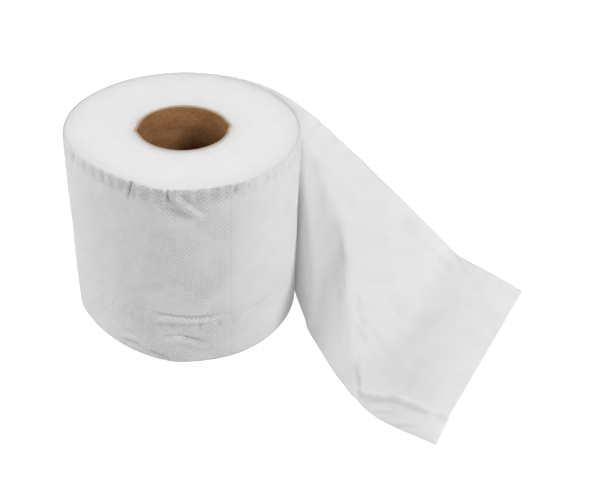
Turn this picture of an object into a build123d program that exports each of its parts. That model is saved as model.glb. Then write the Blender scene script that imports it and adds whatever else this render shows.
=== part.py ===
from build123d import *
import os
from math import acos, asin, cos, degrees, hypot, radians, sin

# Toilet paper roll standing on its end, with the loose end of the paper off the roll.
# Millimetres, +Z up. The origin lies on the axis of the card core, in the plane of the base.
# Angles in plan run anticlockwise from +X. The viewer stands at -Y, and the loose end goes to +X.

# Card core
core_radius = 21.0  # outside of the card
card_thickness = 1.0
core_point_rise = 1.1  # the two creased points stand this far outside the round of the card
core_point_angle = 5.0  # direction of one point, the other is opposite
core_inset = 0.3  # the card's ends stand this far inside the wound paper's

# Wound paper
paper_width = 96.0
end_spread = 0.4  # the turns lie this much out of level with each other
roll_radius = 54.0
roll_shift = 1.75  # the wound paper's outline is centred this far behind the core's axis
rim_bevel = 1.2  # the soft rim of each end

# Pressed side of the roll
flat_spot_angle = 224.0
flat_spot_depth = 3.6
flat_spot_radius = 80.0
flat_spot_blend = 25.0

# Line between the turns, seen on both ends as a spiral
turn_line_count = 3
turn_line_width = 0.5
turn_line_depth = 0.5
turn_line_margin = 2.8  # plain paper left beside the core and beside the rim

# Crease pressed round the lower third of the roll
crease_height = 25.0
crease_width = 2.4
crease_depth = 0.35

# Loose end of the paper
paper_thickness = 0.4
tail_start_angle = 46.0  # where the outermost turn leaves the roll
foot_leaves_angle = 3.0  # where the tail's lower edge leaves the roll's base
full_turn_reach = 8.0  # the crest stands this far out where the paper has turned away from the roll
shortest_leg = 18.0
knee_fade = 30.0  # a knee lower than this runs out into a flat panel
fade_softness = 14.0
root_depth = 1.5  # where the paper still lies on the roll, it is one with the turns this deep
root_taper = 2.0  # depth lost for each millimetre that the paper stands off
crest_slack = 1.0  # paper lost in small wrinkles along the crest
tail_stations = 16

# Way of the tail's foot over the floor: along X and Y, from where it leaves the roll's base
foot_way = ((1.8, -19.1), (4.1, -37.1), (9.1, -56.6), (15.7, -77.8), (22.7, -92.8), (50.1, -115.6))
foot_end_heading = (0.8, -0.6)

# Way of the tail's crest through the air: along X and Y and upwards, from where it leaves the roll
crest_way = (
    (13.5, -11.3, -1.4),
    (32.0, -24.0, -12.2),
    (62.3, -41.8, -36.5),
    (86.0, -54.0, -57.2),
    (94.4, -56.7, -64.8),
    (102.5, -62.2, -67.8),
    (123.1, -77.4, -73.1),
)
crest_end_heading = (0.8, -0.58, -0.2)

roll_height = paper_width + end_spread
roll_centre = Vector(0, roll_shift)
core_point_radius = core_radius + core_point_rise
flat_end_radius = roll_radius - flat_spot_depth - rim_bevel
turn_line_pitch = (flat_end_radius - core_radius - 2 * turn_line_margin) / turn_line_count


def around_roll(radius, angle, height=0):
    """A point at a radius and a plan angle from the middle of the wound paper."""
    return roll_centre + Vector(radius * cos(radians(angle)), radius * sin(radians(angle)), height)


def core_outline(radius):
    """A circle with two opposite creased points, parallel to the outside of the core."""
    half_angle = acos(core_radius / core_point_radius)
    along = radius * cos(half_angle)
    across = radius * sin(half_angle)
    point = radius / cos(half_angle)
    with BuildSketch() as outline:
        Circle(radius)
        with PolarLocations(0, 2, start_angle=core_point_angle):
            Polygon((0, 0), (along, -across), (point, 0), (along, across), align=None)
    return outline.sketch


def spiral_edge(start_radius):
    """Half circles about two centres in turn, each half a pitch wider than the last."""
    for half_turn in range(2 * turn_line_count):
        side = 1 if half_turn % 2 else -1
        centre = (side * turn_line_pitch / 4, 0)
        CenterArc(centre, start_radius + half_turn * turn_line_pitch / 2, 180 * half_turn, 180)


def wound_outline(inset=0):
    """The wound paper's outline, or a parallel line inside it: a round arc and a flatter one, blended."""
    round_radius = roll_radius - inset
    flat_radius = flat_spot_radius - inset
    flat_offset = flat_spot_radius - (roll_radius - flat_spot_depth)
    flat_centre = around_roll(-flat_offset, flat_spot_angle)
    crossing = (flat_radius**2 - round_radius**2 - flat_offset**2) / (2 * round_radius * flat_offset)
    round_half = degrees(acos(crossing))
    flat_half = degrees(asin(round_radius * sin(radians(round_half)) / flat_radius))
    with BuildSketch() as outline:
        with BuildLine():
            CenterArc(roll_centre, round_radius, flat_spot_angle + round_half, 360 - 2 * round_half)
            CenterArc(flat_centre, flat_radius, flat_spot_angle - flat_half, 2 * flat_half)
        make_face()
        fillet(vertices(), flat_spot_blend - inset)
    return outline.sketch


# Lines that the tail hangs between: its foot on the floor and its crest in the air
with BuildLine() as foot_line:
    base_arc = CenterArc(roll_centre, roll_radius, tail_start_angle, foot_leaves_angle - tail_start_angle)
    foot_start = base_arc @ 1
    foot_points = [foot_start + place for place in foot_way]
    Spline(foot_start, *foot_points, tangents=(base_arc % 1, foot_end_heading))

with BuildLine() as crest_line:
    crest_start = around_roll(roll_radius, tail_start_angle, paper_width)
    crest_points = [crest_start + place for place in crest_way]
    Spline(crest_start, *crest_points, tangents=(base_arc % 0, crest_end_heading))

foot_wire = foot_line.wire()
crest_wire = crest_line.wire()


def tail_section(share):
    """The paper's thin section at a share of the tail's length, standing on the foot line.

    The paper stands up from its foot, bends softly at a knee and leans out to its crest. Its width is
    fixed, so the height of the knee follows from how far the crest has dropped and moved out.
    """
    foot = foot_wire.position_at(share * foot_wire.length, PositionMode.LENGTH)
    crest = crest_wire.position_at(share * crest_wire.length, PositionMode.LENGTH)
    out = Vector(crest.X - foot.X, crest.Y - foot.Y)
    drop = paper_width - crest.Z

    # The leg is the paper above the knee
    leg = (out.length**2 + drop**2) / (2 * drop + paper_thickness) + crest_slack * share
    knee_height = paper_width - hypot(leg, shortest_leg)
    knee_height = (knee_height + hypot(knee_height, fade_softness)) / 2

    # Against the roll the section faces straight out from it, and further on it faces the crest
    turned = min(out.length / full_turn_reach, 1)
    from_roll = Vector(foot.X - roll_centre.X, foot.Y - roll_centre.Y).normalized()
    facing = (from_roll * (1 - turned) + out * (turned / max(out.length, paper_thickness))).normalized()
    section_plane = Plane(
        origin=(foot.X, foot.Y, paper_thickness / 2),
        x_dir=facing,
        z_dir=(facing.Y, -facing.X, 0),
    )

    # Where the knee comes down to the foot, the wall leans over with the leg and the bend runs out
    top = Vector(out.dot(facing), crest.Z)
    lying = knee_fade - knee_height
    knee = Vector(0, knee_height) + top.normalized() * ((lying + hypot(lying, fade_softness)) / 2)

    # The control points go up the wall, twice through the knee, which draws the bend in, and up the leg
    lean = (top - knee).normalized()
    rise = knee.normalized()
    wall_side = Vector(-rise.Y, rise.X)
    leg_side = Vector(-lean.Y, lean.X)
    knee_side = (wall_side + leg_side) / (1 + wall_side.dot(leg_side))
    stand_off = (foot - roll_centre).length - roll_radius
    root = max(root_depth - root_taper * max(stand_off, 0), 0)
    with BuildSketch(section_plane) as thin_section:
        with BuildLine():
            ends = []
            for wall_depth, leg_depth in (
                (paper_thickness / 2 + root, paper_thickness / 2 + root * (1 - turned)),
                (-paper_thickness / 2, -paper_thickness / 2),
            ):
                low = wall_side * wall_depth
                bend = knee + knee_side * ((wall_depth + leg_depth) / 2)
                high = top + leg_side * leg_depth
                Bezier(low, (low + bend) / 2, bend, bend, (bend + high) / 2, high)
                ends.append((low, high))
            Line(ends[0][0], ends[1][0])
            Line(ends[0][1], ends[1][1])
        make_face()
    return thin_section.sketch.face()


tail_sections = [tail_section(station / tail_stations) for station in range(tail_stations + 1)]

# Card core: a plain tube with two creases, made when the rolls were packed tight
with BuildPart() as card_core:
    with BuildSketch(Plane.XY.offset(core_inset)):
        add(core_outline(core_radius))
        add(core_outline(core_radius - card_thickness), mode=Mode.SUBTRACT)
    extrude(amount=roll_height - 2 * core_inset)

# Paper: the wound turns and the tail are one web
with BuildPart() as paper_web:
    with BuildSketch():
        add(wound_outline())
        add(core_outline(core_radius), mode=Mode.SUBTRACT)
    extrude(amount=roll_height)
    base_face, top_face = faces().filter_by(Axis.Z).sort_by(Axis.Z)
    chamfer(base_face.outer_wire().edges() + top_face.outer_wire().edges(), rim_bevel)

    # Crease round the lower third
    with BuildSketch(Plane.XY.offset(crease_height - crease_width / 2)):
        add(wound_outline())
        add(wound_outline(crease_depth), mode=Mode.SUBTRACT)
    extrude(amount=crease_width, mode=Mode.SUBTRACT)

    # Line between the turns, on both ends
    line_start = core_radius + turn_line_margin
    cap_start = line_start - turn_line_pitch / 4
    cap_end = cap_start + turn_line_count * turn_line_pitch
    for level in (0, roll_height - turn_line_depth):
        with BuildSketch(Plane.XY.offset(level)):
            with BuildLine():
                spiral_edge(line_start)
                spiral_edge(line_start + turn_line_width)
                Line((cap_start, 0), (cap_start + turn_line_width, 0))
                Line((cap_end, 0), (cap_end + turn_line_width, 0))
            make_face()
        extrude(amount=turn_line_depth, mode=Mode.SUBTRACT)

    loft(tail_sections)

card_core.part.label = "card_core"
paper_web.part.label = "paper_web"
os.makedirs("parts", exist_ok=True)
export_step(card_core.part, "parts/card_core.step")
export_step(paper_web.part, "parts/paper_web.step")
print("tail along its foot and along its crest:", round(foot_wire.length, 1), round(crest_wire.length, 1))
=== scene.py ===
# %% [markdown]
# # A toilet paper roll with its loose end off the roll
# The roll stands on its end. It is one web of soft embossed paper, wound on a card core. The last turn and
# the loose end are one sheet, so they are one piece here, and the turns under it are another.
# Lengths are in millimetres until a mesh is made, and then in metres. The origin lies on the core's axis,
# in the plane of the base.

import bpy
import numpy as np
from mathutils import Matrix, Vector


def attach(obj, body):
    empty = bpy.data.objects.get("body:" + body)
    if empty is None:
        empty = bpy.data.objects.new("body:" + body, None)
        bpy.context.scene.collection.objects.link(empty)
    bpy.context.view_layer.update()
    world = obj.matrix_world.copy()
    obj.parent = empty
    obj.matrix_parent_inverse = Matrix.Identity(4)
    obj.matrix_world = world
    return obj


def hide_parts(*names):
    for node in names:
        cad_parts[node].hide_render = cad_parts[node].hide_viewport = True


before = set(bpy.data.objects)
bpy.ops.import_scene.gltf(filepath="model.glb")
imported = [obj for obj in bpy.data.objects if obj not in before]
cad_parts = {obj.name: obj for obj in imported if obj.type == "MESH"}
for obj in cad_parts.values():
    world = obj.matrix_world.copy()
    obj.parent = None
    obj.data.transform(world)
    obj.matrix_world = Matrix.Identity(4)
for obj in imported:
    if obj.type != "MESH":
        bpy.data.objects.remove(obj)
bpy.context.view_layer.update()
MM = 0.001
print("nodes in the frame:", sorted(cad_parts))

# %% [markdown]
# ## Sizes
# These repeat the sizes of the solid model, so that the looks stay inside it. Angles in plan run
# anticlockwise from +X, round the middle of the wound paper.

# %% Sizes of the roll
PAPER_WIDTH = 96.0
SHEET_THICKNESS = 0.24
SHEET_LENGTH = 134.4  # from one row of perforations to the next
ROLL_RADIUS = 54.0
ROLL_CENTRE = np.array([0.0, 1.75])
FLAT_ANGLE, FLAT_DEPTH, FLAT_RADIUS, FLAT_SOFTNESS = 224.0, 3.6, 80.0, 1.0
CORE_OUTSIDE, CORE_INSIDE, CORE_POINT_RISE, CORE_POINT_ANGLE = 21.0, 20.0, 1.1, 5.0
LEAVES_ANGLE = 66.0  # the outermost turn leaves the roll here
FOOT_LEAVES = 3.0  # and its lower edge stays on the roll as far as here
LAST_TURN = 2 * np.pi * ROLL_RADIUS + 6.0  # the last turn reaches a little under itself
print("roll, mm across and high:", 2 * ROLL_RADIUS, PAPER_WIDTH)

# %% [markdown]
# ## Camera
# The camera looks down on the roll from in front, as in the photograph. It could be turned by an Euler
# rotation, but the order of three turns is easily mistaken. So its own right, up and forward directions are
# worked out from a yaw, a pitch and a tilt, and they become the columns of its matrix.

# %% Camera
CAMERA_YAW, CAMERA_PITCH, CAMERA_TILT = np.radians([8.055, 36.637, 2.887])
CAMERA_PLACE = (0.0, -0.3896, 0.31608)  # metres
FOCAL_LENGTH, PICTURE_WIDTH = 977.293, 596.0  # both in pixels of the picture
SENSOR_WIDTH = 36.0

camera_data = bpy.data.cameras.new("camera")
camera = bpy.data.objects.new("camera", camera_data)
bpy.context.scene.collection.objects.link(camera)
yaw_x, yaw_y = np.sin(CAMERA_YAW), np.cos(CAMERA_YAW)
forward = np.array([yaw_x * np.cos(CAMERA_PITCH), yaw_y * np.cos(CAMERA_PITCH), -np.sin(CAMERA_PITCH)])
level = np.array([yaw_y, -yaw_x, 0.0])
above = np.cross(level, forward)
camera_right = np.cos(CAMERA_TILT) * level + np.sin(CAMERA_TILT) * above
camera_up = -np.sin(CAMERA_TILT) * level + np.cos(CAMERA_TILT) * above
camera_turn = Matrix([[camera_right[i], camera_up[i], -forward[i]] for i in range(3)]).to_4x4()
camera.matrix_world = Matrix.Translation(CAMERA_PLACE) @ camera_turn
camera_data.sensor_width = SENSOR_WIDTH
camera_data.lens = SENSOR_WIDTH * FOCAL_LENGTH / PICTURE_WIDTH
camera_data.clip_end = 20.0
bpy.context.scene.camera = camera
print("lens in millimetres:", round(camera_data.lens, 2))

# %% [markdown]
# ## Floor and light
# The photograph shows the roll on pure white, with only a thin shadow where it stands. A floor bright enough
# to look so would also light the paper from below, and thin paper would glow. So the floor and the room look
# white to the camera alone, and give the paper only the little light that a pale table would.

# %% Floor
FLOOR_ALBEDO = 0.45
FLOOR_GLOW, SEEN_GLOW = 0.06, 0.85  # towards the paper, and towards the camera
GLOW_STARTS, GLOW_FULL = 0.046, 0.050  # no light comes up inside the roll
HALF_FLOOR = 6.0


def for_camera(tree, towards_things, towards_camera):
    """One number for light that falls on things, and another for what the camera sees."""
    path = tree.nodes.new("ShaderNodeLightPath")
    chosen = tree.nodes.new("ShaderNodeMapRange")
    chosen.inputs["To Min"].default_value = towards_things
    chosen.inputs["To Max"].default_value = towards_camera
    tree.links.new(path.outputs["Is Camera Ray"], chosen.inputs["Value"])
    return chosen.outputs["Result"]


def floor_material():
    """A pale diffuse floor with light of its own, except where the roll stands on it."""
    material = bpy.data.materials.new("white_floor")
    material.use_nodes = True
    nodes, links = material.node_tree.nodes, material.node_tree.links
    shader = nodes["Principled BSDF"]
    shader.inputs["Base Color"].default_value = (FLOOR_ALBEDO, FLOOR_ALBEDO, FLOOR_ALBEDO, 1.0)
    shader.inputs["Roughness"].default_value = 1.0
    shader.inputs["Specular IOR Level"].default_value = 0.0
    links.new(for_camera(material.node_tree, FLOOR_GLOW, SEEN_GLOW), shader.inputs["Emission Strength"])
    place = nodes.new("ShaderNodeTexCoord")
    distance = nodes.new("ShaderNodeVectorMath")
    distance.operation = "LENGTH"
    outside = nodes.new("ShaderNodeMapRange")
    outside.inputs["From Min"].default_value = GLOW_STARTS
    outside.inputs["From Max"].default_value = GLOW_FULL
    links.new(place.outputs["Object"], distance.inputs[0])
    links.new(distance.outputs["Value"], outside.inputs["Value"])
    links.new(outside.outputs["Result"], shader.inputs["Emission Color"])
    return material


floor_mesh = bpy.data.meshes.new("floor")
floor_corners = [(x, y, 0.0) for x, y in ((-1, -1), (1, -1), (1, 1), (-1, 1))]
floor_mesh.from_pydata((np.array(floor_corners) * HALF_FLOOR).tolist(), [], [(0, 1, 2, 3)])
floor = bpy.data.objects.new("floor", floor_mesh)
bpy.context.scene.collection.objects.link(floor)
floor_mesh.materials.append(floor_material())
print("floor, metres across:", 2 * HALF_FLOOR)


# %% Lamps and room
LAMP_TARGET = Vector((0.03, -0.02, 0.05))  # the middle of the roll and its loose end, in metres


def soft_lamp(name, azimuth, elevation, distance, size, power):
    """A square area lamp that looks at the roll from an azimuth and an elevation in degrees."""
    data = bpy.data.lights.new(name, "AREA")
    data.shape = "SQUARE"
    data.size = size
    data.energy = power
    lamp = bpy.data.objects.new(name, data)
    a, e = np.radians(azimuth), np.radians(elevation)
    place = LAMP_TARGET + distance * Vector((np.cos(e) * np.cos(a), np.cos(e) * np.sin(a), np.sin(e)))
    aim = (LAMP_TARGET - place).to_track_quat("-Z", "Y")
    lamp.matrix_world = Matrix.Translation(place) @ aim.to_matrix().to_4x4()
    bpy.context.scene.collection.objects.link(lamp)
    return lamp


LAMPS = (
    # name, azimuth, elevation, distance, size, power
    ("lamp_right_front", 322.0, 38.0, 1.3, 0.35, 9.3),
    ("lamp_right_low", 0.0, 12.0, 1.3, 0.8, 2.5),
    ("lamp_behind", 55.0, 20.0, 1.3, 0.8, 3.7),
    ("lamp_back_left", 140.0, 45.0, 1.3, 0.8, 4.6),
    ("lamp_left_low", 180.0, 12.0, 1.3, 0.8, 7.0),
    ("lamp_left", 187.0, 40.0, 1.3, 0.35, 2.5),
    ("lamp_front_low", 265.0, 20.0, 1.5, 0.8, 10.8),
)
for lamp_row in LAMPS:
    soft_lamp(*lamp_row)

ROOM_LIGHT, SEEN_ROOM = 0.03, 1.0
room = bpy.data.worlds.new("white_room")
room.use_nodes = True
background = room.node_tree.nodes["Background"]
background.inputs["Color"].default_value = (1.0, 1.0, 1.0, 1.0)
room.node_tree.links.new(for_camera(room.node_tree, ROOM_LIGHT, SEEN_ROOM), background.inputs["Strength"])
bpy.context.scene.world = room
bpy.context.scene.view_settings.view_transform = "Standard"

# %% [markdown]
# ## Surfaces from two parameters
# Every new piece is a grid of points, worked out as whole arrays. One helper turns such a grid into a mesh,
# and another spaces the grid's lines: close together where the paper has folds, wide apart where it is plain.


# %% A grid of points becomes a mesh
def grid_piece(name, points, flat_map, material, closed=False, masks=None):
    """A mesh over a grid of points (rows, columns, 3), in millimetres.

    Each cell of the grid is one four-sided face. closed joins the last row to the first. flat_map gives a
    place in a pattern for each point, with one row more where the grid is closed, and becomes the UV map.
    masks holds values from 0 to 1 for each point, by name, and each becomes an attribute.
    """
    rows, columns = points.shape[:2]
    index = np.arange(rows * columns).reshape(rows, columns)
    pattern = np.arange(flat_map.shape[0] * columns).reshape(-1, columns)
    next_rows = np.roll(index, -1, axis=0) if closed else index[1:]
    here = index if closed else index[:-1]
    faces = np.stack([here[:, :-1], next_rows[:, :-1], next_rows[:, 1:], here[:, 1:]], axis=-1).reshape(-1, 4)
    corners = np.stack([pattern[:-1, :-1], pattern[1:, :-1], pattern[1:, 1:], pattern[:-1, 1:]], axis=-1)
    mesh = bpy.data.meshes.new(name)
    mesh.from_pydata((points.reshape(-1, 3) * MM).tolist(), [], faces.tolist())
    layer = mesh.uv_layers.new(name="flat")
    layer.data.foreach_set("uv", flat_map.reshape(-1, 2)[corners.ravel()].astype(np.float32).ravel())
    for mask, values in (masks or {}).items():
        attribute = mesh.attributes.new(mask, "FLOAT", "POINT")
        values = np.broadcast_to(values, (rows, columns))
        attribute.data.foreach_set("value", values.astype(np.float32).ravel())
    mesh.polygons.foreach_set("use_smooth", np.ones(len(faces), bool))
    mesh.materials.append(material)
    mesh.update()
    piece = bpy.data.objects.new(name, mesh)
    bpy.context.scene.collection.objects.link(piece)
    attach(piece, "root")
    print(name, "faces:", len(faces))
    return piece


# %% Lines of a grid, closer together where there is more to show
def graded(places, spacings):
    """Places along a line, whose spacing changes evenly from one given spacing to the next.

    The number of cells up to a place is the integral of one over the spacing, and the lines lie where that
    number is whole.
    """
    dense = np.linspace(places[0], places[-1], 20000)
    cells = np.cumsum(np.diff(dense) / np.interp(dense[:-1], places, spacings))
    cells = np.concatenate([[0.0], cells])
    return np.interp(np.linspace(0.0, cells[-1], int(round(cells[-1])) + 1), cells, dense)


# %% [markdown]
# ## Finishes
# Tissue is pressed from loose fibres, so it has a soft felted grain and thin and thick places. The card is
# pressed from coarser fibres. Both use one group of nodes for that grain, each with its own sizes. On top of
# it the tissue has rows of small raised dots, rolled in when it is made, and rows of perforations. Dots as
# geometry would take millions of faces, and a picture of them would blur close up. Two waves that cross give
# them at any distance. They follow the paper, so they read the sheet's own map, in millimetres / 100. Light
# goes through thin tissue, so some of it enters the paper and comes out again, also on the other side.


# %% Short ways to write node trees
def calc(tree, operation, first, second=None, third=None):
    """A Math node whose inputs are sockets or numbers, and its result."""
    node = tree.nodes.new("ShaderNodeMath")
    node.operation = operation
    for slot, value in zip(node.inputs, (first, second, third)):
        if isinstance(value, (int, float)):
            slot.default_value = value
        elif value is not None:
            tree.links.new(value, slot)
    return node.outputs[0]


def spread(tree, value, low, high, to_low=0.0, to_high=1.0):
    """A Map Range node with soft ends: low goes to to_low and high to to_high."""
    node = tree.nodes.new("ShaderNodeMapRange")
    node.interpolation_type = "SMOOTHSTEP"
    tree.links.new(value, node.inputs["Value"])
    for name, number in (("From Min", low), ("From Max", high), ("To Min", to_low), ("To Max", to_high)):
        node.inputs[name].default_value = number
    return node.outputs["Result"]


def blend(tree, share, first, second, kind="MIX"):
    """A colour Mix node: share goes from the first colour to the second."""
    node = tree.nodes.new("ShaderNodeMix")
    node.data_type = "RGBA"
    node.blend_type = kind
    for name, value in (("Factor", share), ("A", first), ("B", second)):
        slot = node.inputs[name]
        if isinstance(value, (int, float, tuple)):
            slot.default_value = value
        else:
            tree.links.new(value, slot)
    return node.outputs["Result"]


def placed(tree, source, scale, turn=(0.0, 0.0, 0.0)):
    """Coordinates from a Texture Coordinate output, scaled and turned by a Mapping node."""
    coordinates = tree.nodes.new("ShaderNodeTexCoord")
    mapping = tree.nodes.new("ShaderNodeMapping")
    mapping.inputs["Scale"].default_value = scale
    mapping.inputs["Rotation"].default_value = turn
    tree.links.new(coordinates.outputs[source], mapping.inputs["Vector"])
    return mapping.outputs["Vector"]


def separated(tree, vector):
    """The three numbers of a vector."""
    node = tree.nodes.new("ShaderNodeSeparateXYZ")
    tree.links.new(vector, node.inputs[0])
    return node.outputs


def mask_value(tree, name):
    """The value of one of the piece's own attributes."""
    node = tree.nodes.new("ShaderNodeAttribute")
    node.attribute_name = name
    return node.outputs["Fac"]


# %% Fibre grain, shared by the tissue and the card
def fibre_group():
    """Grain of pressed fibres, as a colour and a height.

    Fine noise is the fibres, and broad noise makes thin and thick places. Vector is in millimetres.
    """
    group = bpy.data.node_groups.new("pressed_fibres", "ShaderNodeTree")
    make = group.interface.new_socket
    make(name="Vector", in_out="INPUT", socket_type="NodeSocketVector")
    for name, value in (("Fibre Size", 0.5), ("Cloud Size", 9.0), ("Contrast", 0.1), ("Relief", 0.02)):
        make(name=name, in_out="INPUT", socket_type="NodeSocketFloat").default_value = value
    make(name="Thin Colour", in_out="INPUT", socket_type="NodeSocketColor")
    make(name="Thick Colour", in_out="INPUT", socket_type="NodeSocketColor")
    make(name="Colour", in_out="OUTPUT", socket_type="NodeSocketColor")
    make(name="Height", in_out="OUTPUT", socket_type="NodeSocketFloat")
    start = group.nodes.new("NodeGroupInput").outputs
    end = group.nodes.new("NodeGroupOutput").inputs
    grains = []
    for size, detail in (("Fibre Size", 5.0), ("Cloud Size", 2.0)):
        noise = group.nodes.new("ShaderNodeTexNoise")
        noise.inputs["Detail"].default_value = detail
        noise.inputs["Roughness"].default_value = 0.6
        group.links.new(start["Vector"], noise.inputs["Vector"])
        group.links.new(calc(group, "DIVIDE", 1.0, start[size]), noise.inputs["Scale"])
        grains.append(calc(group, "SUBTRACT", noise.outputs["Fac"], 0.5))
    mixed = calc(group, "MULTIPLY_ADD", grains[1], 0.8, grains[0])
    share = calc(group, "MULTIPLY_ADD", mixed, start["Contrast"], 0.5)
    group.links.new(blend(group, share, start["Thin Colour"], start["Thick Colour"]), end["Colour"])
    group.links.new(calc(group, "MULTIPLY", grains[0], start["Relief"]), end["Height"])
    return group


pressed_fibres = fibre_group()
print("shared node group:", pressed_fibres.name)


def fibres(tree, vector, sizes, thin, thick):
    """The fibre group placed in a material, with its own values."""
    node = tree.nodes.new("ShaderNodeGroup")
    node.node_tree = pressed_fibres
    tree.links.new(vector, node.inputs["Vector"])
    for name, value in zip(("Fibre Size", "Cloud Size", "Contrast", "Relief"), sizes):
        node.inputs[name].default_value = value
    node.inputs["Thin Colour"].default_value = (*thin, 1.0)
    node.inputs["Thick Colour"].default_value = (*thick, 1.0)
    return node.outputs["Colour"], node.outputs["Height"]


# %% What every material here starts from
GLOSS = 0.15  # paper and card hardly shine


def matte_material(name, roughness, soft_share=0.0, soft_depth=0.0):
    """A new matte material: its node tree and its shader.

    soft_share of the light goes soft_depth metres into the paper and comes out again, on the other side
    too where the paper is thin.
    """
    material = bpy.data.materials.new(name)
    material.use_nodes = True
    shader = material.node_tree.nodes["Principled BSDF"]
    shader.inputs["Roughness"].default_value = roughness
    shader.inputs["Specular IOR Level"].default_value = GLOSS
    if soft_share:
        shader.inputs["Subsurface Weight"].default_value = soft_share
        shader.inputs["Subsurface Radius"].default_value = (1.0, 1.0, 1.0)
        shader.inputs["Subsurface Scale"].default_value = soft_depth
    return material, material.node_tree, shader


def set_relief(tree, shader, height):
    """Feeds a height in millimetres to the shader's normal."""
    bump = tree.nodes.new("ShaderNodeBump")
    bump.inputs["Distance"].default_value = MM
    tree.links.new(height, bump.inputs["Height"])
    tree.links.new(bump.outputs["Normal"], shader.inputs["Normal"])


# %% Dots, pressed band and perforations
DOT_PITCH, DOT_HEIGHT, BAND_HEIGHT = 2.0, 0.43, 0.36  # the band's dots have a height of their own
RUBBED_SIZE, RUBBED_SHARE = 14.0, 0.45  # patches where only this share of the dots' height is left
RUBBED_NOISE = (0.34, 0.56)  # from rubbed to untouched, as values of the noise
BAND_LOW, BAND_HIGH = 89.2, 95.6  # height of the strongly pressed band along the sheet's upper edge
BAND_FADE_LOW, BAND_FADE_HIGH = 0.8, 0.3
GROUP_PITCH, GROUP_START, GROUP_GAP = 6.0, -1.15, 0.3  # its dots come in groups, and are faint between them
GROUP_EDGES = (0.1, 0.6)
SLIT_PITCH, SLIT_DEPTH, SLITS_ON_TAIL = 1.7, 0.10, 0.12  # the slits are fainter on the loose end
SLIT_HALF_WIDTH = (0.45, 0.12)  # where it begins and where it is deepest, from the row's middle
SLIT_ENDS = (0.25, 0.6)


def wave(tree, place, pitch, start=0.0):
    """A wave from 0 to 1 with its own pitch, along a place in millimetres."""
    turned = calc(tree, "MULTIPLY_ADD", place, 2 * np.pi / pitch, start)
    return calc(tree, "MULTIPLY_ADD", calc(tree, "SINE", turned), 0.5, 0.5)


def dot_lattice(tree, along, across):
    """Dots on a diamond grid, from 0 to 1: the product of two waves that cross."""
    rising = wave(tree, calc(tree, "ADD", along, across), DOT_PITCH)
    falling = wave(tree, calc(tree, "SUBTRACT", along, across), DOT_PITCH)
    return calc(tree, "MULTIPLY", rising, falling)


def rubbed_patches(tree, flat):
    """The share of the dots' height that is left: broad noise, because the paper was rubbed in patches."""
    noise = tree.nodes.new("ShaderNodeTexNoise")
    noise.inputs["Scale"].default_value = 1 / RUBBED_SIZE
    noise.inputs["Detail"].default_value = 2.0
    tree.links.new(flat, noise.inputs["Vector"])
    return spread(tree, noise.outputs["Fac"], *RUBBED_NOISE, RUBBED_SHARE, 1.0)


def pressed_band(tree, along, across):
    """1 in the band's groups of dots, GROUP_GAP between them and 0 outside the band."""
    above_low = spread(tree, across, BAND_LOW - BAND_FADE_LOW, BAND_LOW)
    below_high = spread(tree, across, BAND_HIGH + BAND_FADE_HIGH, BAND_HIGH)
    groups = spread(tree, wave(tree, along, GROUP_PITCH, GROUP_START), *GROUP_EDGES, GROUP_GAP, 1.0)
    return calc(tree, "MULTIPLY", calc(tree, "MULTIPLY", above_low, below_high), groups)


def perforations(tree, along, across):
    """Short slits in rows across the paper. A row comes each SHEET_LENGTH, counted from the sheet's end."""
    from_end = calc(tree, "SUBTRACT", (LAST_TURN + TAIL_LENGTH) % SHEET_LENGTH, along)
    row = spread(tree, calc(tree, "PINGPONG", from_end, SHEET_LENGTH / 2), *SLIT_HALF_WIDTH)
    slits = spread(tree, wave(tree, across, SLIT_PITCH), *SLIT_ENDS)
    on_roll = spread(tree, along, LAST_TURN + 25.0, LAST_TURN - 5.0, SLITS_ON_TAIL, 1.0)
    return calc(tree, "MULTIPLY", calc(tree, "MULTIPLY", row, slits), on_roll)


# %% Embossed tissue
SHEET_THIN, SHEET_THICK = (0.85, 0.85, 0.85), (0.95, 0.95, 0.95)
# the grey towards which painted shade darkens the sheet's colour
SHADED = (0.42, 0.42, 0.42, 1.0)
# shares of painted shade: in hollows, between the dots, between the band's dots and in the slits
HOLLOW_SHADE, DOT_SHADE, BAND_SHADE, SLIT_SHADE = 0.5, 0.17, 0.18, 0.20  # how much of it each brings
LOW_PAPER = 0.30  # the lattice is lower than this between the dots
SHEET_GRAIN = (0.55, 11.0, 0.9, 0.035)  # fibre size, cloud size, contrast, relief
MAP_TO_MM = (100.0, 100.0, 100.0)


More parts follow.
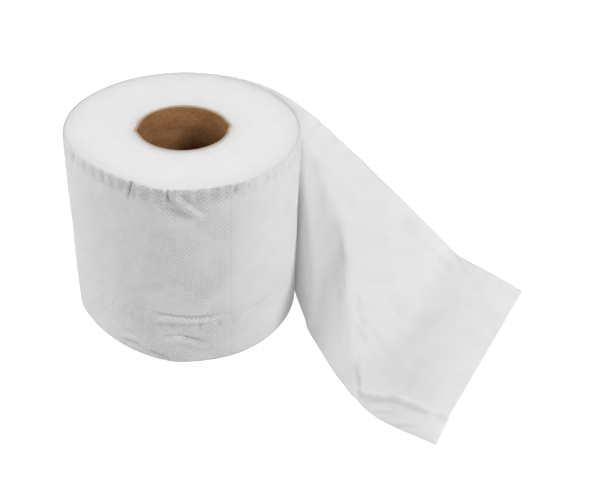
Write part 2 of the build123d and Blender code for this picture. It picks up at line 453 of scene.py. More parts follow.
def embossed_tissue():
    """The outer sheet: felted fibres, fine dots, a strongly pressed band and rows of perforations, with
    painted shade in hollows, in slits and between the dots.
    """
    material, tree, shader = matte_material("embossed_tissue", 0.95, soft_share=0.72, soft_depth=0.0022)
    flat = placed(tree, "UV", MAP_TO_MM)
    along, across, _ = separated(tree, flat)
    colour, grain = fibres(tree, flat, SHEET_GRAIN, SHEET_THIN, SHEET_THICK)

    # The masks come from the sheet's grid, and say where the dots and the band are worn
    lattice = dot_lattice(tree, along, across)
    kept = calc(tree, "MULTIPLY", rubbed_patches(tree, flat), mask_value(tree, "embossed"))
    in_band = calc(tree, "MULTIPLY", pressed_band(tree, along, across), mask_value(tree, "banded"))
    slit = perforations(tree, along, across)

    # Heights in millimetres
    height = calc(tree, "MULTIPLY_ADD", calc(tree, "MULTIPLY", lattice, kept), DOT_HEIGHT, grain)
    height = calc(tree, "MULTIPLY_ADD", calc(tree, "MULTIPLY", lattice, in_band), BAND_HEIGHT, height)
    height = calc(tree, "MULTIPLY_ADD", slit, -SLIT_DEPTH, height)

    # Painted shade: slits, dents and the paper between the dots are darkened in the colour, for the light
    # that gets lost in them
    low = spread(tree, lattice, LOW_PAPER, 0.0)
    shade = calc(tree, "MULTIPLY", mask_value(tree, "hollow"), HOLLOW_SHADE)
    shade = calc(tree, "MULTIPLY_ADD", calc(tree, "MULTIPLY", low, kept), DOT_SHADE, shade)
    shade = calc(tree, "MULTIPLY_ADD", calc(tree, "MULTIPLY", low, in_band), BAND_SHADE, shade)
    shade = calc(tree, "MULTIPLY_ADD", slit, SLIT_SHADE, shade)
    tree.links.new(blend(tree, shade, colour, SHADED), shader.inputs["Base Color"])
    set_relief(tree, shader, height)
    return material


# %% Edges of the wound paper
THIN_WHITE, THICK_WHITE = (0.80, 0.80, 0.80), (0.92, 0.92, 0.92)
EDGE_GRAIN = (0.45, 8.0, 0.5, 0.04)
TURN_THICKNESS = 0.36
TURN_RELIEF = 0.006


def wound_tissue():
    """The ends of the turns: fibres as in the sheet, and one fine ridge for each turn."""
    material, tree, shader = matte_material("wound_tissue", 0.95, soft_share=0.6, soft_depth=0.010)
    coordinates = placed(tree, "Object", (1 / MM, 1 / MM, 1 / MM))
    colour, grain = fibres(tree, coordinates, EDGE_GRAIN, THIN_WHITE, THICK_WHITE)
    turn_count = separated(tree, placed(tree, "UV", (1.0, 1.0, 1.0)))[0]
    ridge = calc(tree, "SINE", calc(tree, "MULTIPLY", turn_count, 2 * np.pi))
    tree.links.new(colour, shader.inputs["Base Color"])
    set_relief(tree, shader, calc(tree, "MULTIPLY_ADD", ridge, TURN_RELIEF, grain))
    return material


# %% Grey-brown card
CARD_THIN, CARD_THICK = (0.235, 0.108, 0.042), (0.385, 0.198, 0.088)
CARD_EDGE = (0.52, 0.40, 0.28, 1.0)
CARD_GRAIN = (0.9, 7.0, 2.2, 0.10)
DRAWN_OUT = (45.0, 110.0, 100.0)  # the fibres are longer along the strip than across it
STRIP_ANGLE = np.radians(30.0)
CARD_LENGTH = PAPER_WIDTH - 0.2
CUT_FADE = (0.9, 0.15)  # the paler edge ends and is palest this far from the card's ends


def pressed_card():
    """Coarse fibres drawn out along the slanting strip, and paler where the card was cut."""
    material, tree, shader = matte_material("pressed_card", 0.9)
    drawn_out = placed(tree, "UV", DRAWN_OUT, (0.0, 0.0, STRIP_ANGLE))
    colour, grain = fibres(tree, drawn_out, CARD_GRAIN, CARD_THIN, CARD_THICK)
    height = separated(tree, placed(tree, "UV", MAP_TO_MM))[1]
    cut = spread(tree, calc(tree, "PINGPONG", height, CARD_LENGTH / 2), *CUT_FADE)
    tree.links.new(blend(tree, cut, colour, CARD_EDGE), shader.inputs["Base Color"])
    set_relief(tree, shader, grain)
    return material


# %% [markdown]
# ## The last turn and the loose end
# The sheet goes once round the roll and then leaves it. Its foot runs over the floor and its crest hangs in
# the air, and between them it stands up, bends at a soft knee and leans out. A cloth simulation would
# drape such a sheet in some way, but not in this way, so its two edges are drawn as curves, and the paper's
# fixed width settles the rest.


# %% Outline of the wound paper
def wound_radius(angle):
    """Distance from the roll's centre to its outside, at an angle in degrees.

    It is the smaller of the round radius and the distance to a flatter circle, and a small
    root rounds the corner between the two.
    """
    away = np.radians(angle - FLAT_ANGLE)
    offset = FLAT_RADIUS - (ROLL_RADIUS - FLAT_DEPTH)
    under_root = np.maximum(FLAT_RADIUS**2 - (offset * np.sin(away)) ** 2, 0.0)
    flat = np.sqrt(under_root) - offset * np.cos(away)
    difference = flat - ROLL_RADIUS
    return ROLL_RADIUS + (difference - np.sqrt(difference**2 + FLAT_SOFTNESS**2)) / 2


print("radius in the middle of the pressed side, mm:", round(float(wound_radius(FLAT_ANGLE)), 2))


def around(centre, radius, angle, height):
    """Points at a radius, an angle in degrees and a height round a centre."""
    x = centre[0] + radius * np.cos(np.radians(angle))
    y = centre[1] + radius * np.sin(np.radians(angle))
    return np.stack(np.broadcast_arrays(x, y, height), axis=-1)


# %% Curves through a few points
CURVE_SAMPLES = 2000


def curve_through(points, start, end):
    """A smooth curve through the points, which leaves and arrives in the given directions, and its length.

    Between two points it is a cubic, and the slopes are those that keep the bending continuous,
    from one set of linear equations. It is then sampled at equal lengths.
    """
    points = np.array(points, float)
    gaps = np.linalg.norm(np.diff(points, axis=0), axis=1)
    knots = np.concatenate([[0.0], np.cumsum(gaps)])
    n = len(points)
    system, target = np.eye(n), np.zeros_like(points)
    target[0] = np.array(start) / np.linalg.norm(start)
    target[-1] = np.array(end) / np.linalg.norm(end)
    inner = np.arange(1, n - 1)
    system[inner, inner - 1] = gaps[1:]
    system[inner, inner] = 2 * (gaps[:-1] + gaps[1:])
    system[inner, inner + 1] = gaps[:-1]
    steps = np.diff(points, axis=0) / gaps[:, None]
    target[1:-1] = 3 * (gaps[1:, None] * steps[:-1] + gaps[:-1, None] * steps[1:])
    slopes = np.linalg.solve(system, target)
    dense = np.linspace(0.0, knots[-1], 2 * CURVE_SAMPLES)
    cell = np.clip(np.searchsorted(knots, dense, side="right") - 1, 0, n - 2)
    width = gaps[cell][:, None]
    t = (dense[:, None] - knots[cell][:, None]) / width
    curve = (
        (1 + 2 * t) * (1 - t) ** 2 * points[cell]
        + t * (1 - t) ** 2 * width * slopes[cell]
        + t**2 * (3 - 2 * t) * points[cell + 1]
        + t**2 * (t - 1) * width * slopes[cell + 1]
    )
    length = np.concatenate([[0.0], np.cumsum(np.linalg.norm(np.diff(curve, axis=0), axis=1))])
    places = np.linspace(0.0, length[-1], CURVE_SAMPLES)
    return np.stack([np.interp(places, length, line) for line in curve.T], axis=-1), length[-1]


# %% Foot and crest of the loose end
FOOT_WAY = ((55.7, -14.5), (58.0, -32.5), (63.0, -52.0), (69.6, -73.2), (76.6, -88.2), (104.0, -111.0))
FOOT_END_HEADING = (0.8, -0.6)
CREST_WAY = (
    (38.5, 41.2, 96.0),
    (51.0, 29.3, 94.6),
    (69.5, 16.6, 83.8),
    (99.8, -1.2, 59.5),
    (123.5, -13.4, 38.8),
    (131.9, -16.1, 31.2),
    (140.0, -21.6, 28.2),
    (160.6, -36.8, 22.9),
)
CREST_END_HEADING = (0.8, -0.58, -0.2)


def heading(angle):
    """Direction in which the paper goes clockwise round the roll, at a plan angle."""
    return np.array([np.sin(np.radians(angle)), -np.cos(np.radians(angle))])


foot_arc = around(ROLL_CENTRE, ROLL_RADIUS, np.linspace(LEAVES_ANGLE, FOOT_LEAVES, 200), 0.0)[:, :2]
foot_free, _ = curve_through([foot_arc[-1], *FOOT_WAY], heading(FOOT_LEAVES), FOOT_END_HEADING)
foot_line = np.concatenate([foot_arc[:-1], foot_free])
foot_places = np.concatenate([[0.0], np.cumsum(np.linalg.norm(np.diff(foot_line, axis=0), axis=1))])
TAIL_LENGTH = foot_places[-1]
crest_start = around(ROLL_CENTRE, ROLL_RADIUS, LEAVES_ANGLE, PAPER_WIDTH)
crest_line, crest_length = curve_through(
    [crest_start, *CREST_WAY],
    (*heading(LEAVES_ANGLE), 0.0),
    CREST_END_HEADING,
)
print("loose end along its foot and crest, mm:", round(TAIL_LENGTH, 1), round(crest_length, 1))


# %% [markdown]
# ## Folds, creases and dents
# Soft paper keeps every knock. Folds could be sculpted by hand, but then nobody could read or move them. Here
# each fold is a low ridge, or a groove, between two places on the unrolled paper. The same folds shape the
# turns underneath, so nothing shows through. Places along the paper count from where it leaves the roll, and
# what lies on the roll has a negative place.


# %% Places along the sheet, and folds
def at(angle):
    """Place along the sheet of a plan angle on the last turn."""
    return -np.radians(angle - LEAVES_ANGLE) * ROLL_RADIUS


def angle_at(along):
    """Plan angle of a place along the sheet, which undoes at()."""
    return LEAVES_ANGLE - np.degrees(along / ROLL_RADIUS)


def bell(distance, width):
    """A bell curve: 1 in the middle, and about a third at the width."""
    return np.exp(-((distance / width) ** 2))


def fold(along, up, start, end, width, height, right_width=None):
    """A ridge from start to end, or a groove where the height is negative.

    Across its middle line it falls off as a bell curve, which may have another width on its right, and
    towards its ends it falls off as a parabola.
    """
    run = np.array([end[0] - start[0], end[1] - start[1]])
    length = np.hypot(*run)
    step = ((along - start[0]) * run[0] + (up - start[1]) * run[1]) / length**2
    aside = ((along - start[0]) * run[1] - (up - start[1]) * run[0]) / length
    ends = np.maximum(4 * step * (1 - step), 0.0)
    return height * ends * bell(aside, np.where(aside < 0, width, right_width or width))


def folds(along, up, rows):
    """The sum of a list of folds, each given as in the tables below."""
    return sum(fold(along, up, (a, b), (c, d), *shape) for a, b, c, d, *shape in rows)


# %% Folds on the roll
RIM_NICKS = (
    # plan angle and height of the start and of the end, half width, how far it stands out
    (244.8, 98.5, 241.6, 85.5, 0.8, -1.7),
    (262.2, 99, 262.2, 89.5, 0.6, -1.6),
    (293.2, 96.3, 292.8, 89.8, 1, -1.2),
    (204, 97, 199, 86.5, 1.2, -0.9),
    (212.5, 95.5, 211.5, 88.5, 0.9, -0.4),
    (227.2, 95, 226.6, 89, 0.8, -0.4),
    (299.5, 96, 299.5, 90.5, 0.7, -0.5),
    (310.6, 96, 310.9, 91, 0.8, -0.5),
)
ROLL_FOLDS = (
    (259.5, 98, 278.5, 80.5, 1.6, 2),  # ridge that runs down from the rim
    (257, 88.5, 272.5, 81, 2.6, -1.1),  # hollow beside it
    (250, 24.3, 270, 26.8, 1.3, 1.1),  # pressed edge under the crease
    (263, 24.6, 287, 26.3, 1.3, 1.1),
    (296, 22.5, 332, 28, 1.2, 0.4),
    (252, 10, 267, 15.5, 1.3, 0.75),  # two slopes of a low fold near the base
    (261, 16, 279, 8.5, 1.3, 0.75),
    (254, 14.5, 266, 18, 1, -0.45),
    (262.5, 18.2, 279, 12, 1, -0.75),
    (222, 5, 243, 9.5, 1, 0.75),  # wrinkles at the base
    (238, 7.6, 258, 4, 0.9, 0.75),
    (230, 4, 248, 6.5, 1.2, -0.90),
    (246, 5, 262, 1, 1.3, -0.90),
    (229, 12.5, 243, 10.5, 1.2, -0.30),
    (256, 66.5, 269, 68, 1.3, 0.25),  # faint ones half way up
    (258, 62, 270, 65, 1.6, -0.16),
    (245, 41, 262, 47, 1.8, -0.14),
    (262, 47, 282, 33, 1.4, 0.30),
    (120, 70, 138, 62, 1.8, -0.5),  # and on the far side
    (150, 20, 162, 34, 1.8, -0.4),
    (96, 40, 104, 12, 2, -0.4),
)
PIT_ANGLES = np.array([226.2, 232.8, 239.0, 245.5, 251.0, 255.0, 261.2, 269.5, 275.0, 284.6, 291.8, 299.0])
PIT_DEPTHS = np.array([0.6, 0.5, 0.8, 0.6, 0.4, 0.7, 0.6, 0.3, 1.0, 0.9, 0.6, 0.3])
PIT_HEIGHT = 22.2
PIT_HALF_WIDTH, PIT_HALF_HEIGHT = 1.3, 2.1
roll_folds = [(at(a), b, at(c), d, *shape) for a, b, c, d, *shape in RIM_NICKS + ROLL_FOLDS]
print("folds on the roll:", len(roll_folds), "and pits:", len(PIT_ANGLES))


def pit_row(along, up):
    """A row of small oval pits, each a bell curve in both directions, from 0 to about 1."""
    pits = zip(at(PIT_ANGLES), PIT_DEPTHS)
    across = sum(depth * bell(along - place, PIT_HALF_WIDTH) for place, depth in pits)
    return across * bell(up - PIT_HEIGHT, PIT_HALF_HEIGHT)


# %% Folds in the loose end
TAIL_FOLDS = (
    # place and height of the start and of the end, half width, how far it stands out, and for some the half
    # width on the right. What rises towards the camera is negative here.
    (56, 72, 98, 18, 5, -0.8),  # long soft pleat beside the roll
    (88, 58, 97, -8, 5, -0.7),
    (54, 90, 120, 20, 7, 0.9),  # hollow between it and the slope
    (100, 52, 134, 8, 6, 0.8),
    (132, 36, 164, 25, 3, 0.3),
    (92, 62, 118, 42, 5, 0.7),
    (122, 43, 132, 37, 2, 0.3),  # three short ones beside the slope
    (126, 38, 138, 31, 2, 0.35),
    (131, 31, 144, 25, 2, 0.35),
    (141, 20, 152, -6, 2.4, 0.6),
    (142, 15, 168, 21, 5, -0.8),
    (139, 14, 152, 3, 3, 0.6),  # curved crease near the foot
    (145, 1, 169, 13, 1.8, 1.7, 2.4),
    (160, 11.6, 184, 12.2, 1.8, 1.4, 2.6),
    (170, 12, 204, 12, 2.4, 0.7, 3),
    (152, 1, 166, 9, 0.9, -0.4),  # small wrinkles below it
    (156, 0, 172, 8, 0.9, 0.4),
    (160, -2, 180, 7, 1.1, -0.4),
    (166, -1, 184, 6, 1, 0.35),
    (134, 90, 158, 86, 3.2, 0.4),  # wrinkles where the crest turns
    (144, 92, 166, 91, 2.4, -0.35),
    (140, 84, 158, 78, 3.4, 0.2),
    (116, 94, 144, 84, 5.5, 0.6),
    (152, 97, 166, 88, 1.7, 0.4),
)
print("folds in the loose end:", len(TAIL_FOLDS))

# %% Broad unevenness and soft steps
WAVES = 14
WAVE_HEIGHT = 0.0016  # as a share of the wave's length
chance = np.random.default_rng(5)
wave_lengths = chance.uniform(13.0, 55.0, WAVES)
wave_headings = chance.uniform(0.0, np.pi, WAVES)
wave_phases = chance.uniform(0.0, 2 * np.pi, WAVES)


def soft_waves(along, up):
    """Broad unevenness: a sum of waves in all directions, each as high as a share of its length."""
    total = 0.0
    for length, heading, phase in zip(wave_lengths, wave_headings, wave_phases):
        distance = along * np.cos(heading) + up * np.sin(heading)
        total = total + WAVE_HEIGHT * length * np.sin(2 * np.pi * distance / length + phase)
    return total


def step_up(value, low, high):
    """Goes smoothly from 0 below low to 1 above high."""
    share = np.clip((value - low) / (high - low), 0.0, 1.0)
    return share * share * (3 - 2 * share)


def swell(value, rise, fall, share=1.0):
    """Goes from 0 to 1 over the stretch rise, and loses a share again over the stretch fall."""
    return step_up(value, *rise) * (1 - share * step_up(value, *fall))


# %% The relief of the paper on the roll
CREASE_HEIGHT, CREASE_TILT, CREASE_LOWEST = 26.9, 3.0, 20.0  # lowest at this plan angle
CREASE_FRONT, CREASE_SPAN = 267.0, 13.0  # the crease is sharp around this plan angle
CREASE_FAINT, CREASE_SHARP = 0.06, 0.8
CREASE_DEPTH, CREASE_LIP, LIP_BELOW = 0.9, 0.7, 1.9
LIP_SPAN, GROOVE_SPAN = 1.1, 0.8
PIT_DEPTH, PUCKER_HEIGHT, PUCKER_SPAN = 0.6, 0.3, 2.6
PUCKERS_RISE, PUCKERS_FALL = (216.0, 228.0), (296.0, 310.0)  # plan angles between which they show
RIM_DENT_DEPTH, RIM_DENT_MIDDLE = 0.10, at(270.5)
TOP_ROUNDING, BASE_ROUNDING = 0.55, 0.5


def crease(angle, up):
    """A slanting groove round the roll, and the lip that it pushes up under itself."""
    centre = CREASE_HEIGHT + CREASE_TILT * np.cos(np.radians(angle - CREASE_LOWEST - 180.0))
    sharp = CREASE_FAINT + CREASE_SHARP * bell(angle - CREASE_FRONT, CREASE_SPAN)
    lip = CREASE_LIP * bell(up - centre + LIP_BELOW, LIP_SPAN)
    groove = CREASE_DEPTH * bell(up - centre, GROOVE_SPAN)
    return sharp * (lip - groove)


def roll_relief(along, up):
    """How far the paper stands out from a smooth roll, in millimetres.

    It is the sum of the crease, the pits with the puckers between them, the dents between the band's groups
    of dots, the rounding at both edges, the folds and the broad unevenness.
    """
    angle = angle_at(along)
    pressed = swell(angle, PUCKERS_RISE, PUCKERS_FALL)
    puckers = PUCKER_HEIGHT * pressed * bell(up - PIT_HEIGHT, PUCKER_SPAN) - PIT_DEPTH * pit_row(along, up)
    dent_wave = 1 + np.cos(2 * np.pi * (along - RIM_DENT_MIDDLE) / GROUP_PITCH)
    rim_dents = -RIM_DENT_DEPTH * dent_wave * step_up(up, 89.0, 91.5)
    rounded = -TOP_ROUNDING * step_up(up, 94.6, 96.4) ** 2 - BASE_ROUNDING * step_up(-up, -1.6, 0.2) ** 2
    shape = crease(angle, up) + puckers + rim_dents + rounded
    return shape + folds(along, up, roll_folds) + soft_waves(along, up)


# %% The relief of the loose end
RIPPLE_HEIGHT, RIPPLE_LENGTH = 0.26, 11.0
END_RIPPLE_HEIGHT, END_RIPPLE_LENGTH = 0.15, 8.5
RIPPLE_REACH = 6.0  # the ripples fade out this far below the crest
TAIL_UNEVENNESS = 1.6  # the loose end is less even than the roll


def tail_relief(along, up):
    """How far the loose end departs from its smooth shape, away from the roll, in millimetres."""
    ripple = swell(along, (48.0, 58.0), (82.0, 96.0)) * np.sin(2 * np.pi * along / RIPPLE_LENGTH)
    end_ripple = step_up(along, 148.0, 158.0) * np.sin(2 * np.pi * along / END_RIPPLE_LENGTH)
    near_crest = np.exp(-((PAPER_WIDTH - up) / RIPPLE_REACH))
    edges = near_crest * (RIPPLE_HEIGHT * ripple + END_RIPPLE_HEIGHT * end_ripple)
    return edges + folds(along, up, TAIL_FOLDS) + TAIL_UNEVENNESS * soft_waves(along, up)


# %% [markdown]
# ## The sheet
# Where the sheet lies on the roll, its length turns into an angle round the roll. Where it has left, each
# line across it is bent to fit between the foot and the crest. Two meshes would need a seam where the paper
# leaves, so one grid covers both, and its lines lie close together where the folds are. The mesh has no
# thickness of its own: a Solidify modifier gives it that of the paper.

# %% The sheet's grid
sheet_along = graded(
    (-LAST_TURN, at(320.0), at(300.0), at(225.0), at(195.0), at(180.0), -25.0, 30.0, TAIL_LENGTH),
    (2.4, 1.4, 0.75, 0.75, 1.1, 2.4, 2.2, 1.15, 1.1),
)[:, None]
sheet_up = graded(
    (0.0, 14.0, 18.0, 31.0, 36.0, 78.0, 86.0, PAPER_WIDTH),
    (1.0, 0.9, 0.65, 0.65, 1.4, 1.4, 0.8, 0.75),
)[None, :]
print("the sheet's grid:", sheet_along.size, "by", sheet_up.size)

# %% The sheet where it lies on the roll
COVERED_DEPTH = 0.56  # the sheet's beginning lies this much deeper, under the loose end
COVERED_FROM, COVERED_WHOLLY = 268.0, 292.0  # counted back from where the sheet leaves the roll
SHEET_RISE = 0.1  # the sheet's lower edge stands this far off the floor
RIM_DROP = 0.35  # and its upper edge is pressed down this far
RIM_DROP_STARTS = 88.0


def covered(along):
    """1 where the sheet lies under its own loose end, 0 from where that has left the roll altogether."""
    return step_up(-along, COVERED_FROM, COVERED_WHOLLY)


def sheet_radius(along):
    """Radius of the sheet on the roll. It comes up from under itself by one thickness in the turn."""
    lift = SHEET_THICKNESS * np.clip(1 + along / (2 * np.pi * ROLL_RADIUS), 0.0, 1.0)
    return wound_radius(angle_at(along)) - SHEET_THICKNESS + lift - COVERED_DEPTH * covered(along)


def on_the_roll(along, up):
    """The sheet where it lies on the roll: its length becomes an angle, and its upper edge sinks a little."""
    height = up + SHEET_RISE - RIM_DROP * step_up(up, RIM_DROP_STARTS, PAPER_WIDTH)
    return around(ROLL_CENTRE, sheet_radius(along), angle_at(along), height)


# %% The knee of the loose end
KNEE_REACH = 5.5  # half of the soft bend, measured up the paper
KNEE_PLACES = (0.0, 40.0, 56.0, 72.0, 85.0, 98.0, 107.0, 115.0, 126.0, 136.0, 146.0, 155.0, 164.0, 192.0)
KNEE_UP = (94.0, 87.0, 82.0, 77.0, 68.5, 62.0, 54.5, 45.0, 32.0, 20.5, 12.0, 10.5, 12.5, 13.0)
KNEE_BLUR = 11  # the table is smoothed over this many millimetres on both sides
SLACK = 2.4  # where foot and crest lie nearly a paper's width apart, the bend fades out over this much
LOW_BEND = 0.8  # a low knee's bend takes this share of the wall, so that it stays off the floor


def knee_up(along):
    """How far up the paper the knee lies: the table, averaged under a bell-shaped window."""
    window = np.hanning(2 * KNEE_BLUR + 1)
    fine = np.arange(-KNEE_BLUR, TAIL_LENGTH + KNEE_BLUR + 1)
    smooth = np.convolve(np.interp(fine, KNEE_PLACES, KNEE_UP), window / window.sum(), mode="valid")
    return np.interp(along, fine[KNEE_BLUR:-KNEE_BLUR], smooth)


print("knee where the sheet leaves and at its end, mm up:", knee_up(np.array([0.0, TAIL_LENGTH])).round(1))


def knee_corner(along, top):
    """The knee in the plane of each section, as a place out from the foot and up from it.

    top is the crest in the same plane. The knee's place up the paper is given, and the paper's width is
    fixed. So foot, knee and crest are the corners of a triangle with three known sides, and the cosine rule
    says how far the wall below the knee leans.
    """
    apart = np.hypot(top[:, 0], top[:, 1])
    spare = PAPER_WIDTH - apart
    whole = apart + (spare + np.hypot(spare, SLACK)) / 2
    below = knee_up(along) / PAPER_WIDTH * whole
    beyond = whole - below
    cosine = (below**2 + apart**2 - beyond**2) / (2 * below * apart)
    corner = np.arccos(np.clip(cosine, -1.0, 1.0))
    lean = np.maximum(np.arctan2(top[:, 0], top[:, 1]) - corner, 0.0)
    return np.stack([below * np.sin(lean), below * np.cos(lean)], axis=-1)


def bent_section(knee, top, up):
    """Each section as places out and up: straight up the wall, round the bend and straight up to the crest.

    In the bend, the share of the way that goes along the upper part grows evenly from 0 to 1, which draws
    a parabola.
    """
    upper = top - knee
    wall_length = np.linalg.norm(knee, axis=1)[:, None]
    upper_length = np.linalg.norm(upper, axis=1)[:, None]
    stretch = (wall_length + upper_length) / PAPER_WIDTH
    past_knee = up - wall_length / stretch
    reach = np.minimum(KNEE_REACH, LOW_BEND * wall_length / stretch)
    bent = np.clip((past_knee + reach) / (2 * reach), 0.0, 1.0)
    on_upper = reach * bent**2 + np.maximum(past_knee - reach, 0.0)
    on_wall = up - on_upper
    section = (knee / wall_length)[:, None, :] * (on_wall * stretch)[..., None]
    return section + (upper / upper_length)[:, None, :] * (on_upper * stretch)[..., None]


# %% The sheet where it has left the roll
LEAST_REACH = 0.05  # the crest is never quite above the foot, so that each section has a direction


def off_the_roll(along, up):
    """The loose end: each line across it stands on the foot, bends at a knee and leans to the crest."""
    share = np.clip(along[:, 0] / TAIL_LENGTH, 0.0, 1.0)
    foot = np.stack([np.interp(share * TAIL_LENGTH, foot_places, line) for line in foot_line.T], axis=-1)
    crest_shares = np.linspace(0.0, 1.0, len(crest_line))
    crest = np.stack([np.interp(share, crest_shares, line) for line in crest_line.T], axis=-1)
    out = crest[:, :2] - foot
    reach = np.maximum(np.linalg.norm(out, axis=1), LEAST_REACH)
    top = np.stack([reach, crest[:, 2]], axis=-1)
    section = bent_section(knee_corner(along[:, 0], top), top, up)
    facing = out / reach[:, None]
    points = np.empty(section.shape[:2] + (3,))
    points[..., :2] = foot[:, None, :] + facing[:, None, :] * section[..., :1]
    points[..., 2] = section[..., 1] + SHEET_RISE
    return points


# %% Normals and hollows of a grid
HOLLOW_ROUNDS, HOLLOW_GAIN = 10, 1.8


def outward(points):
    """Unit normals of a grid: the cross product of its two directions, on the sheet's outer side."""
    normal = np.cross(np.gradient(points, axis=1), np.gradient(points, axis=0))
    return normal / np.linalg.norm(normal, axis=-1, keepdims=True)


# the hollow mask is painted shade: it darkens the sheet's colour where the paper lies deeper than around it
def hollows(depths):
    """How deep each point lies below the paper around it, from 0 to 1.

    It is the mean of the neighbourhood less the point's own height, and the mean comes from replacing each
    value by the mean of its four neighbours a few times over.
    """
    mean = depths
    for _ in range(HOLLOW_ROUNDS):
        padded = np.pad(mean, 1, mode="edge")
        mean = (padded[:-2, 1:-1] + padded[2:, 1:-1] + padded[1:-1, :-2] + padded[1:-1, 2:]) / 4
    return np.clip((mean - depths) * HOLLOW_GAIN, 0.0, 1.0)


# %% Relief and masks of the sheet
off_share = step_up(sheet_along, -12.0, 28.0)
on_share = 1 - off_share
on_relief = on_share * (1 - covered(sheet_along)) * roll_relief(sheet_along, sheet_up)
off_relief = off_share * tail_relief(sheet_along, sheet_up)
sheet_relief = on_relief + off_relief

# The dots and the band are sharp in front and worn towards both sides, and faint on the loose end. The
# painted shade between the dots follows the same masks.
plan_angles = angle_at(sheet_along)
CRISP_RISE, CRISP_FALL, CRISP_LOSS = (222.0, 250.0), (284.0, 306.0), 1.3
DEEP_RISE, DEEP_FALL = (208.0, 220.0), (286.0, 312.0)
crisp = swell(plan_angles, CRISP_RISE, CRISP_FALL, CRISP_LOSS)
deep = swell(plan_angles, DEEP_RISE, DEEP_FALL)
sheet_masks = {
    # painted shade in hollows: the camera sees the loose end from its inner side, where a ridge is a hollow,
    # so the sign turns there
    "hollow": hollows((on_share - off_share) * sheet_relief),
    "embossed": np.clip(on_share * (0.35 + 0.65 * crisp), 0.04, 1.0),
    "banded": np.clip(on_share * (0.3 + 0.7 * deep), 0.06, 1.0),
}
print("relief of the sheet, mm:", round(sheet_relief.min(), 2), "to", round(sheet_relief.max(), 2))

# %% The sheet itself
on_points = on_the_roll(sheet_along, sheet_up)
off_points = off_the_roll(sheet_along, sheet_up)
smooth_sheet = np.where(sheet_along[..., None] < 0, on_points, off_points)
sheet_points = smooth_sheet + outward(smooth_sheet) * sheet_relief[..., None]
sheet_points[..., 2] = np.clip(sheet_points[..., 2], SHEET_THICKNESS / 2, None)
sheet_map = np.stack(np.broadcast_arrays(sheet_along + LAST_TURN, sheet_up), axis=-1) / 100.0
loose_sheet = grid_piece(
    "last_turn_and_loose_end", sheet_points, sheet_map, embossed_tissue(), masks=sheet_masks
)
solidify = loose_sheet.modifiers.new("thickness", "SOLIDIFY")
solidify.thickness = SHEET_THICKNESS * MM
solidify.offset = 0.0

# %% [markdown]
# ## The wound turns
# About ninety turns lie under the last one. They could be one spiral sheet, but most of it would never be
# seen. Only the edges show, at the roll's two ends, so the turns are one closed ring. Its ends rise and fall
# once for every three turns, and the material adds each single turn.


# %% Inside and outside of the turns
RIM_LOW, RIM_HIGH = (0.8, 3.0), (93.6, 95.6)  # between these stretches the sheet hides the turns
HIDDEN_DEPTH = 1.1  # and there they lie this much deeper
UNDER_SHEET = 0.4 * SHEET_THICKNESS
angles = angle_at(
    graded(
        (-2 * np.pi * ROLL_RADIUS, at(305.0), at(298.0), at(230.0), at(195.0), at(180.0), 0.0),
        (2.2, 1.6, 0.9, 0.9, 1.2, 2.2, 2.2),
    )
)[:-1, None]
last_along = at(angles)


def core_radius_at(radius, angle):
    """Radius of the card at an angle: a circle with two opposite points, made by its two tangents."""
    half_point = np.arccos(CORE_OUTSIDE / (CORE_OUTSIDE + CORE_POINT_RISE))
    away = np.abs(np.mod(np.radians(angle - CORE_POINT_ANGLE) + np.pi / 2, np.pi) - np.pi / 2)
    return np.where(away < half_point, radius / np.cos(half_point - away), radius)


def outer_radius(up):
    """Outside of the wound turns at a height: just under the sheet at the rims, and deeper between them."""
    hidden = HIDDEN_DEPTH * swell(up, RIM_LOW, RIM_HIGH)
    pressed_in = (1 - covered(last_along)) * roll_relief(last_along, up)
    return sheet_radius(last_along) - UNDER_SHEET - hidden + pressed_in


core_edge = core_radius_at(CORE_OUTSIDE, angles)
print("steps round the turns:", len(angles))

# %% One end of the roll
RIDGE_PITCH = 3 * TURN_THICKNESS
RIDGE_HEIGHT, UNEVEN_HEIGHT = 0.012, 0.03
SLOW_HEIGHT, SLOW_SQUEEZE = 0.35, 1.3  # the broad unevenness, lower and tighter than on the sheet
RIM_STARTS, RIM_FALL = 0.955, 0.45  # the outermost share of the end is rounded, and falls by this much
TOP_HEIGHT = PAPER_WIDTH
BASE_HEIGHT = 0.25


def end_face(height, out, columns):
    """One end of the roll: a spiral of paper edges from the core out to the last turn.

    The height rises and falls once for each ridge, and the spiral comes from taking the angle away from
    the ridge's count. Each ridge is a little higher or lower than the next. out is 1 for the top and -1 for
    the base. The second result counts the turns from the core.
    """
    across = np.linspace(0.0, 1.0, columns)[None, :]
    edge = outer_radius(np.array([[height]]))
    radius = core_edge + (edge - core_edge) * across
    count = (radius - CORE_OUTSIDE) / RIDGE_PITCH - angles / 360.0
    ridge = RIDGE_HEIGHT * np.cos(2 * np.pi * count)
    uneven = UNEVEN_HEIGHT * np.sin(2.4 * count) * np.cos(0.9 * count + np.radians(angles))
    turned = np.radians(angles)
    plan = np.stack([radius * np.cos(turned), ROLL_CENTRE[1] * across + radius * np.sin(turned)], axis=-1)
    slow = SLOW_HEIGHT * soft_waves(plan[..., 0] * SLOW_SQUEEZE, plan[..., 1] * SLOW_SQUEEZE)
    rim = RIM_FALL * np.clip((across - RIM_STARTS) / (1 - RIM_STARTS), 0.0, 1.0) ** 2
    z = height + out * (ridge + uneven + slow * np.sin(np.pi * across) - rim)
    return np.concatenate([plan, z[..., None]], axis=-1), (radius - core_edge) / TURN_THICKNESS


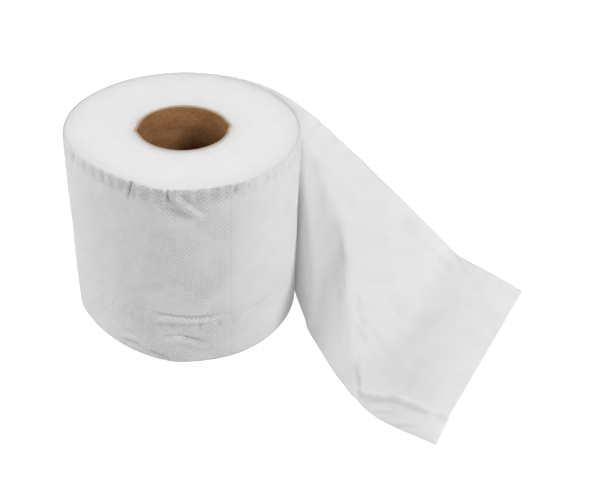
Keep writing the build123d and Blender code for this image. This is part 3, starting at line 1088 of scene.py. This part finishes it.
# %% The wound turns as one closed ring
LOWEST = 0.05  # the base stays this far above the floor
SIDE_HEIGHTS = (95.2, 94.4, 93.6, 92.0, *np.linspace(88.0, 8.0, 20), 3.0, 1.6, 0.8)
top_face, top_turns = end_face(TOP_HEIGHT, 1.0, 150)
base_face, base_turns = end_face(BASE_HEIGHT, -1.0, 60)
base_face[..., 2] = np.maximum(base_face[..., 2], LOWEST)
side_up = np.array(SIDE_HEIGHTS)[None, :]
side = around(ROLL_CENTRE, outer_radius(side_up), angles, side_up)
bore_up = np.linspace(0.0, 1.0, 8)[None, 1:-1] * (TOP_HEIGHT - BASE_HEIGHT) + BASE_HEIGHT
bore = around((0.0, 0.0), core_edge, angles, bore_up)
ring = np.concatenate([top_face, side, base_face[:, ::-1], bore, top_face[:, :1]], axis=1)

# The map's first number counts turns along the spiral, and its second is the share of the way round
side_turns = np.broadcast_to(top_turns[:, -1:], side.shape[:2])
bore_turns = np.zeros(bore.shape[:2])
turns = np.concatenate([top_turns, side_turns, base_turns[:, ::-1], bore_turns, top_turns[:, :1]], axis=1)
turns = np.concatenate([turns, turns[:1]], axis=0)
way_round = np.concatenate([angles, angles[:1] + 360.0], axis=0) / 360.0
turn_map = np.stack(np.broadcast_arrays(turns - way_round, way_round), axis=-1)
wound_turns = grid_piece("wound_turns", ring, turn_map, wound_tissue(), closed=True)
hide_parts("paper_web")
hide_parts("paper_web")

# %% [markdown]
# ## The card core
# The core is a tube wound from strips of card. Rolls are packed tight, and that pressed this one to a slight
# point at two opposite sides. A cylinder has neither the points nor the cut edge, so a small profile is
# carried round the core: up the outside, over the rounded edge and down the inside. The cut edge is paler.

# %% The card tube
CARD_OUT = CORE_OUTSIDE - 0.05  # a little play inside the paper
CARD_ROUND = 0.18  # softness of the cut edges
CARD_LOW, CARD_HIGH = 0.35, 96.05
CUT_WAVES, CUT_UNEVEN = 5, 0.05  # the upper cut is not quite level
card_up = np.linspace(CARD_LOW + CARD_ROUND, CARD_HIGH - CARD_ROUND, 50)[None, :]
card_turn = np.linspace(0.0, 360.0, 240, endpoint=False)[:, None]


def card_wall(radius, height):
    """Points of the card at a nominal radius and a height, with a faint waviness where it was cut."""
    wavy = CUT_UNEVEN * np.sin(np.radians(CUT_WAVES * card_turn)) * (height > PAPER_WIDTH / 2)
    return around((0.0, 0.0), core_radius_at(radius, card_turn), card_turn, height + wavy)


card_top = np.array([[CARD_HIGH]])
card_base = np.array([[CARD_LOW]])
CARD_PROFILE = (
    (CARD_OUT, card_up),
    (CARD_OUT - CARD_ROUND, card_top),
    (CORE_INSIDE + CARD_ROUND, card_top),
    (CORE_INSIDE, card_up[:, ::-1]),
    (CORE_INSIDE + CARD_ROUND, card_base),
    (CARD_OUT - CARD_ROUND, card_base),
    (CARD_OUT, card_up[:, :1]),
)
tube = np.concatenate([card_wall(radius, height) for radius, height in CARD_PROFILE], axis=1)
tube_up = np.concatenate([tube, tube[:1]], axis=0)[..., 2] - CARD_LOW
tube_round = np.radians(np.concatenate([card_turn, card_turn[:1] + 360.0], axis=0)) * CORE_INSIDE
tube_map = np.stack(np.broadcast_arrays(tube_round, tube_up), axis=-1) / 100.0
card_tube = grid_piece("card_tube", tube, tube_map, pressed_card(), closed=True)
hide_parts("card_core")
